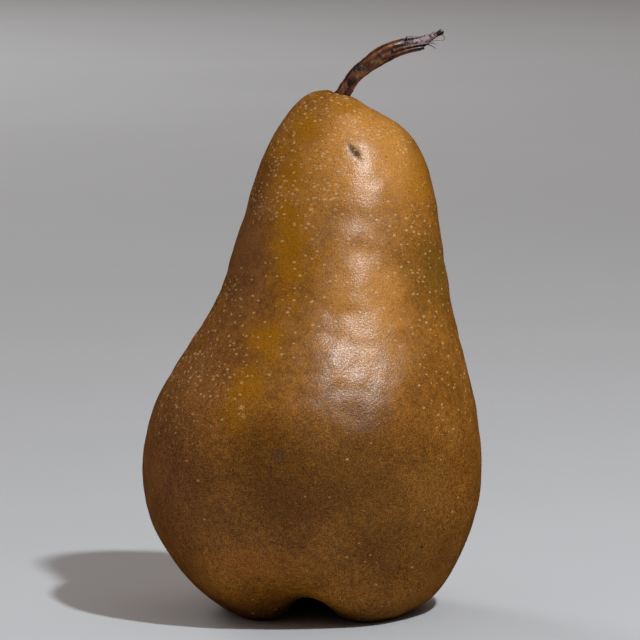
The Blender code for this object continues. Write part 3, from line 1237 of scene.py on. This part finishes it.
@dataclass
class Stalk:
    """The woody stalk: a bent, grooved run with a crusted knob, a snapped twig and a few frayed fibres."""

    ALONG = "along"
    GROOVE = "groove"
    UNDER = "under"
    RUN = "wood_run"
    STREAK = 0.16

    foot: Vector
    rows: int = 190
    around: int = 56
    wind: float = 2.2
    knob_place: float = 0.80
    knob_reach: float = 0.07
    fine_bark: Ripples = Ripples((0.5, 1.3), 0.15, 36, 3)
    coarse_bark: Ripples = Ripples((1.4, 3.2), 0.10, 24, 8)
    run: tuple[tuple[float, float, float, float], ...] = (
        (-0.3, 0.0, -0.6, 1.70),
        (0.8, 0.0, 1.25, 1.58),
        (1.9, 0.0, 2.7, 1.50),
        (4.3, 0.0, 6.2, 1.50),
        (6.4, 0.1, 8.0, 1.56),
        (8.6, 0.1, 9.6, 1.72),
        (10.6, 0.2, 10.85, 1.76),
        (12.7, 0.3, 11.7, 1.66),
        (14.5, 0.3, 12.3, 1.50),
        (16.6, 0.3, 12.85, 1.34),
        (18.2, 0.3, 13.3, 1.12),
        (19.3, 0.2, 13.75, 0.98),
        (20.1, 0.1, 14.2, 0.74),
        (20.6, 0.1, 14.4, 0.56),
        (21.3, 0.0, 14.75, 0.48),
        (21.9, 0.0, 15.05, 0.56),
        (22.3, 0.0, 15.3, 0.58),
        (22.5, 0.0, 15.5, 0.34),
    )

    def build(self, material: Material) -> Item:
        """Make the stalk.

        Args:
            material: The bark.

        Returns:
            The stalk's object.
        """
        rows = smooth_run(np.array(self.run), self.rows)
        centres = rows[:, :3] * MM + np.array(self.foot)
        radii = rows[:, 3] * MM
        over, across = frames_along(centres, Vector((-0.8, 0.0, 0.6)))
        way_round = np.linspace(0.0, TURN, self.around, endpoint=False)
        share, turns = np.meshgrid(np.linspace(0.0, 1.0, self.rows), way_round, indexing="ij")
        under = 0.5 - 0.5 * np.cos(turns)
        groove = self._grooves(turns, share, under)
        knob = np.exp(-(((share - self.knob_place) / self.knob_reach) ** 2))
        depth = 0.24 + 0.12 * under + 0.12 * knob
        size = radii[:, None] * (1.0 + depth * (groove - 0.55))
        rings = centres[:, None] + size[..., None] * (
            np.cos(turns)[..., None] * over[:, None] + np.sin(turns)[..., None] * across[:, None]
        )
        flat = rings.reshape(-1, 3)
        rough = self.fine_bark.heights(flat) + self.coarse_bark.heights(flat)
        rough = rough.reshape(self.rows, self.around)
        shift = rough * (1.0 - soft_step((share - 0.9) / 0.05) * 0.6)
        out = rings - centres[:, None]
        out /= np.linalg.norm(out, axis=2)[..., None]
        mesh = tube_mesh("stalk", rings + out * shift[..., None])
        self._note(mesh, self.ALONG, share)
        self._note(mesh, self.GROOVE, groove)
        self._note(mesh, self.UNDER, under)
        reach = np.concatenate([[0.0], np.cumsum(np.linalg.norm(np.diff(centres, axis=0), axis=1))])
        wound = turns + self.wind * share
        length = np.broadcast_to(reach[:, None] * self.STREAK, turns.shape)
        crosswise = (radii[:, None] * np.cos(wound), radii[:, None] * np.sin(wound))
        round_it = np.stack([length, *crosswise], axis=2).reshape(-1, 3)
        round_it = np.vstack([round_it, round_it[:1], round_it[-1:]])
        attribute = mesh.attributes.new(self.RUN, "FLOAT_VECTOR", "POINT")
        attribute.data.foreach_set("vector", round_it.astype(np.float32).ravel())
        return add_object("stalk", mesh, material)

    @staticmethod
    def _grooves(turns: np.ndarray, share: np.ndarray, under: np.ndarray) -> np.ndarray:
        """How proud the bark stands at each point: ridges that wind slowly round the stalk.

        Args:
            turns: The angle round the stalk, 0 on its upper side.
            share: How far along it.
            under: 0 on the upper side and 1 on the lower side.

        Returns:
            0 in the grooves to 1 on the ridges.
        """
        wind = 3.4 * share + 0.35 * np.sin(9.0 * share)
        ridges = np.cos(5.0 * turns + wind) + 0.6 * np.cos(8.0 * turns - 2.0 * wind + 1.3)
        fine = 0.45 * np.cos(13.0 * turns + 4.0 * wind + 0.5) * under
        waves = 0.35 * np.cos(3.0 * turns + 26.0 * share) + 0.25 * np.sin(41.0 * share + 2.0 * turns)
        return np.clip(0.55 + 0.22 * (ridges + fine + waves), 0.0, 1.0)

    def _note(self, mesh: bpy.types.Mesh, name: str, values: np.ndarray) -> None:
        """Store a number at each point for the bark to read.

        Args:
            mesh: The stalk's mesh, whose last two points close its ends.
            name: The attribute's name.
            values: Numbers by ring and place round the ring.
        """
        full = np.concatenate([values.ravel(), values[0, :1], values[-1, :1]])
        attribute = mesh.attributes.new(name, "FLOAT", "POINT")
        attribute.data.foreach_set("value", full.astype(np.float32))

    def build_fibres(self, material: Material) -> Item:
        """Make the frayed fibres round the knob.

        Args:
            material: The bark.

        Returns:
            The fibres' object.
        """
        strands = (
            (((10.5, -1.0, 9.9), (13.6, -1.1, 10.95), (16.3, -0.9, 11.65), (18.6, -0.7, 11.95)), 0.50, 0.40),
            (((12.0, -1.5, 11.3), (14.8, -1.4, 12.1), (17.4, -1.1, 12.55), (19.6, -0.8, 12.85)), 0.40, 0.22),
            (((12.8, -0.1, 10.4), (15.6, -0.1, 11.2), (18.0, 0.0, 11.6)), 0.50, 0.30),
            (((13.0, 1.5, 11.2), (15.8, 1.4, 11.9), (18.9, 1.0, 12.4)), 0.42, 0.20),
            (((14.8, -0.9, 13.9), (17.0, -0.7, 14.2), (19.0, -0.4, 14.6)), 0.34, 0.16),
            (((18.0, -0.8, 12.9), (20.2, -0.9, 12.9), (21.3, -0.8, 12.7)), 0.17, 0.05),
            (((18.6, -0.9, 12.6), (20.0, -1.0, 13.2), (21.6, -0.7, 13.5), (22.6, -0.5, 13.4)), 0.12, 0.05),
            (((21.6, -0.1, 14.8), (22.5, -0.3, 14.5), (22.9, -0.4, 13.9), (22.6, -0.4, 13.4)), 0.12, 0.05),
            (((18.4, 0.9, 12.7), (20.0, 1.4, 12.3), (21.2, 1.5, 11.6)), 0.15, 0.05),
            (((19.4, -0.2, 14.3), (20.0, -0.8, 14.7), (20.7, -1.0, 15.3)), 0.15, 0.06),
            (((19.0, 0.6, 13.9), (19.7, 1.2, 14.4), (20.8, 1.4, 14.5)), 0.15, 0.05),
        )
        threads = []
        for number, (run, radius, end_radius) in enumerate(strands):
            points = np.array(run) * MM + np.array(self.foot)
            rings = thread_rings(points, radius * MM, end_radius * MM, 30, 10)
            threads.append(tube_mesh(f"fibre_{number}", rings))
        mesh = join_meshes("stalk_fibres", threads)
        for name, value in ((self.ALONG, 0.7), (self.GROOVE, 0.55), (self.UNDER, 0.4)):
            attribute = mesh.attributes.new(name, "FLOAT", "POINT")
            attribute.data.foreach_set("value", np.full(len(mesh.vertices), value, np.float32))
        attribute = mesh.attributes.new(self.RUN, "FLOAT_VECTOR", "POINT")
        attribute.data.foreach_set("vector", read_points(mesh).astype(np.float32).ravel())
        return add_object("stalk_fibres", mesh, material)


@dataclass
class Eye:
    """The dried flower end underneath: five curled leaves round a tuft of threads."""

    middle: Vector
    root_height: float
    rows: int = 16
    across: int = 8
    thickness: float = 0.30 * MM
    lengths: Span = (5.2, 6.2)
    half_widths: Span = (1.45, 1.75)
    slopes: Span = (18.0, 30.0)
    curls: Span = (58.0, 82.0)
    twists: Span = (-28.0, 28.0)

    @classmethod
    def from_frame(cls) -> Eye:
        """Find the eye from the CAD leaves."""
        boxes = [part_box(name) for name in LEAF_NODES]
        centres = [(low + high) / 2.0 for low, high in boxes]
        middle = sum(centres, Vector()) / len(centres)
        return cls(Vector((middle.x, middle.y, 0.0)), max(high.z for _, high in boxes) + 0.5 * MM)

    def build_leaf(self, number: int, material: Material) -> Item:
        """Make one leaf where its CAD solid is.

        Args:
            number: Which leaf, from 1.
            material: The dried leaves' finish.

        Returns:
            The leaf's object.
        """
        low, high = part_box(LEAF_NODES[number - 1])
        centre = (low + high) / 2.0 - self.middle
        bearing = math.atan2(centre.y, centre.x)
        chance = np.random.default_rng(number)
        length, half_width = (chance.uniform(*span) * MM for span in (self.lengths, self.half_widths))
        slope, curl, twist = (
            math.radians(chance.uniform(*span)) for span in (self.slopes, self.curls, self.twists)
        )
        spine = [np.array((1.1 * MM, 0.0, self.root_height))]
        for i in range(self.rows):
            angle = slope + curl * (i / (self.rows - 1)) ** 1.2
            spine.append(spine[-1] + np.array((math.cos(angle), 0.0, -math.sin(angle))) * length / self.rows)
        verts = []
        for i, point in enumerate(spine):
            share = i / self.rows
            width = half_width * self._outline(share)
            for j in range(self.across + 1):
                side = 2.0 * j / self.across - 1.0
                lean = twist * share
                wave = 0.16 * MM * math.sin(9.0 * share + 5.0 * side + number) * share
                cup = 0.55 * MM * side * side + 0.10 * MM * math.cos(3.0 * math.pi * side)
                rise = side * width * math.sin(lean) - cup * (1.0 - 0.4 * share) + wave
                verts.append(tuple(point + np.array((wave, side * width * math.cos(lean), rise))))
        faces = []
        step = self.across + 1
        for i in range(self.rows):
            for j in range(self.across):
                corner = i * step + j
                faces.append((corner, corner + 1, corner + step + 1, corner + step))
        mesh = bpy.data.meshes.new(f"eye_leaf_{number}")
        mesh.from_pydata(verts, [], faces)
        mesh.transform(Matrix.Translation(self.middle) @ Matrix.Rotation(bearing, 4, "Z"))
        leaf = add_object(f"eye_leaf_{number}", mesh, material)
        thick = leaf.modifiers.new("thickness", "SOLIDIFY")
        thick.thickness = self.thickness
        thick.offset = 0.0
        soft = leaf.modifiers.new("soft", "SUBSURF")
        soft.levels = 1
        soft.render_levels = 1
        bake_modifiers(leaf)
        points = read_points(leaf.data)
        normals = read_normals(leaf.data)
        wrinkles = Ripples((0.5, 1.4), 0.35, 24, 20 + number)
        write_points(leaf.data, points + normals * wrinkles.heights(points)[:, None])
        leaf.data.shade_smooth()
        return leaf

    @staticmethod
    def _outline(share: float) -> float:
        """Half width of a dried leaf as a share of its widest, from foot to tip."""
        return (0.62 + 1.1 * share) * (1.0 - share) ** 0.75 + 0.03

    def build_threads(self, material: Material, count: int = 16) -> Item:
        """Make the dried threads in the middle of the eye.

        Args:
            material: The dried leaves' finish.
            count: How many threads.

        Returns:
            The threads' object.
        """
        chance = np.random.default_rng(41)
        threads = []
        base = np.array((self.middle.x, self.middle.y, self.root_height))
        for number in range(count):
            bearing = TURN * number / count + chance.uniform(-0.2, 0.2)
            out = np.array((math.cos(bearing), math.sin(bearing), 0.0))
            reach = chance.uniform(0.5, 1.2) * MM
            drop = chance.uniform(1.6, 2.6) * MM
            bend = chance.uniform(0.2, 0.9) * MM
            down = np.array((0.0, 0.0, -drop))
            middle = base + out * (reach + 0.3 * bend) + down * 0.5
            points = np.array([base + out * reach, middle, base + out * (reach + bend) + down])
            rings = thread_rings(points, 0.11 * MM, 0.07 * MM, 10, 6)
            threads.append(tube_mesh(f"thread_{number}", rings))
        return add_object("eye_threads", join_meshes("eye_threads", threads), material)


# ---------------------------------------------------------------------------------------------------------
# The studio
# ---------------------------------------------------------------------------------------------------------


class Reach(Enum):
    """What a lamp does: everything, only a sheen on glossy things, or only a soft wash."""

    FULL = "full"
    SHEEN = "sheen"
    WASH = "wash"


@dataclass(frozen=True)
class Lamp:
    """A flat soft light: where it stands, where it looks, its width and height, power and colour."""

    name: str
    place: Triple
    size: Span
    power: float
    colour: Colour
    target: Triple = (0.0, 0.0, 0.05)
    reach: Reach = Reach.FULL

    def build(self) -> Item:
        """Hang the light."""
        data = bpy.data.lights.new(self.name, "AREA")
        data.shape = "ELLIPSE"
        data.size, data.size_y = self.size
        data.energy = self.power
        data.color = self.colour
        lamp = bpy.data.objects.new(self.name, data)
        lamp.location = self.place
        look = Vector(self.target) - Vector(self.place)
        lamp.rotation_euler = look.to_track_quat("-Z", "Y").to_euler()
        lamp.visible_diffuse = self.reach is not Reach.SHEEN
        lamp.visible_glossy = self.reach is not Reach.WASH
        lamp.visible_camera = False
        bpy.context.scene.collection.objects.link(lamp)
        return lamp


@dataclass
class Studio:
    """A pale paper floor, a key light, a sheen lamp, a wash on the far floor, a dim sky and the camera."""

    floor_half: float = 20.0
    distance: float = 0.90
    elevation: float = math.radians(6.5)
    target: Triple = (0.0018, 0.0, 0.0615)
    frame_width: float = 0.1344
    sensor: float = 36.0
    sky: Colour = (0.335, 0.298, 0.280)
    sky_front: Colour = (0.058, 0.051, 0.047)
    sky_axis: Triple = (-0.45, 0.78, 0.43)
    sky_edges: Span = (-0.35, 0.45)
    floor_squares: int = 24
    clip: Span = (0.01, 50.0)
    lamps: tuple[Lamp, ...] = (
        Lamp("key_light", (0.395, -0.405, 0.860), (0.05, 0.05), 7.0, (0.87, 0.95, 1.0)),
        Lamp(
            "far_light",
            (-1.5, 2.2, 1.5),
            (1.2, 1.2),
            28.0,
            (0.95, 0.99, 1.0),
            (-1.0, 1.8, 0.0),
            Reach.WASH,
        ),
        Lamp(
            "sheen_light",
            (0.312, -0.556, 0.842),
            (0.24, 0.44),
            8.0,
            (0.98, 0.97, 1.0),
            (0.0, 0.0, 0.07),
            Reach.SHEEN,
        ),
    )

    def build_floor(self, material: Material) -> Item:
        """Lay the floor.

        Args:
            material: The floor's finish.

        Returns:
            The floor's object.
        """
        bm = bmesh.new()
        squares = self.floor_squares
        bmesh.ops.create_grid(bm, x_segments=squares, y_segments=squares, size=self.floor_half)
        mesh = bpy.data.meshes.new("studio_floor")
        bm.to_mesh(mesh)
        bm.free()
        floor = add_object("studio_floor", mesh, material)
        floor.visible_glossy = False
        return floor

    def light(self) -> None:
        """Switch the lights on."""
        for lamp in self.lamps:
            lamp.build()
        world = bpy.data.worlds.new("soft_fill")
        world.use_nodes = True
        wires = Wires(world.node_tree)
        way = wires.node("ShaderNodeTexCoord").outputs["Generated"]
        facing = wires.vector("DOT_PRODUCT", way, Vector(self.sky_axis).normalized())
        sky = wires.mix(wires.between(facing, *self.sky_edges), self.sky_front, self.sky)
        wires.feed(world.node_tree.nodes["Background"].inputs["Color"], sky)
        world.cycles_visibility.glossy = False
        bpy.context.scene.world = world
        bpy.context.scene.view_settings.view_transform = "Standard"

    def aim_camera(self) -> Item:
        """Set the camera in front of the fruit, a little above its top and looking slightly down."""
        data = bpy.data.cameras.new("camera")
        data.sensor_width = self.sensor
        data.lens = self.sensor * self.distance / self.frame_width
        data.clip_start, data.clip_end = self.clip
        camera = bpy.data.objects.new("camera", data)
        away = Vector((0.0, -math.cos(self.elevation), math.sin(self.elevation))) * self.distance
        camera.location = Vector(self.target) + away
        camera.rotation_euler = (-away).to_track_quat("-Z", "Y").to_euler()
        bpy.context.scene.collection.objects.link(camera)
        bpy.context.scene.camera = camera
        return camera


def place_piece(piece: Item, slot: Slot, *nodes: str) -> None:
    """Fix a finished piece to the pear.

    Args:
        piece: The piece.
        slot: The material slot of its finish; not used.
        *nodes: The CAD nodes that it stands for.
    """
    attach(piece, ROOT)
    if nodes:
        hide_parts(*nodes)
    LOG.info("%s: %d points, %d faces", piece.name, len(piece.data.vertices), len(piece.data.polygons))


def stalk_foot() -> Vector:
    """The middle of the CAD stalk's foot, up from the low corner of its box."""
    low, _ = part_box(Node.STALK.value)
    return low + Vector(FOOT_IN_BOX) * MM


def main() -> None:
    """Dress the whole pear and light it."""
    logging.basicConfig(level=logging.INFO, format="%(name)s: %(message)s")
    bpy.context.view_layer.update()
    effects = Effects()
    foot = stalk_foot()
    crown = foot + Vector(CROWN_OVER_FOOT) * MM

    fruit = Fruit(crown).build(SkinFinish(), effects)
    place_piece(fruit, Slot.SKIN, Node.FRUIT.value)

    bark = BarkFinish().material(effects, foot)
    stalk = Stalk(foot)
    place_piece(stalk.build(bark), Slot.BARK, Node.STALK.value)
    place_piece(stalk.build_fibres(bark), Slot.BARK)

    dry = DRIED_LEAF.material(effects)
    eye = Eye.from_frame()
    for number, name in enumerate(LEAF_NODES, start=1):
        place_piece(eye.build_leaf(number, dry), Slot.LEAF, name)
    place_piece(eye.build_threads(dry), Slot.LEAF)

    studio = Studio()
    studio.build_floor(STUDIO_PAPER.material(effects))
    studio.light()
    studio.aim_camera()
    LOG.info("studio: floor, %d lamps, sky and camera", len(studio.lamps))


if __name__ == "__main__":
    main()
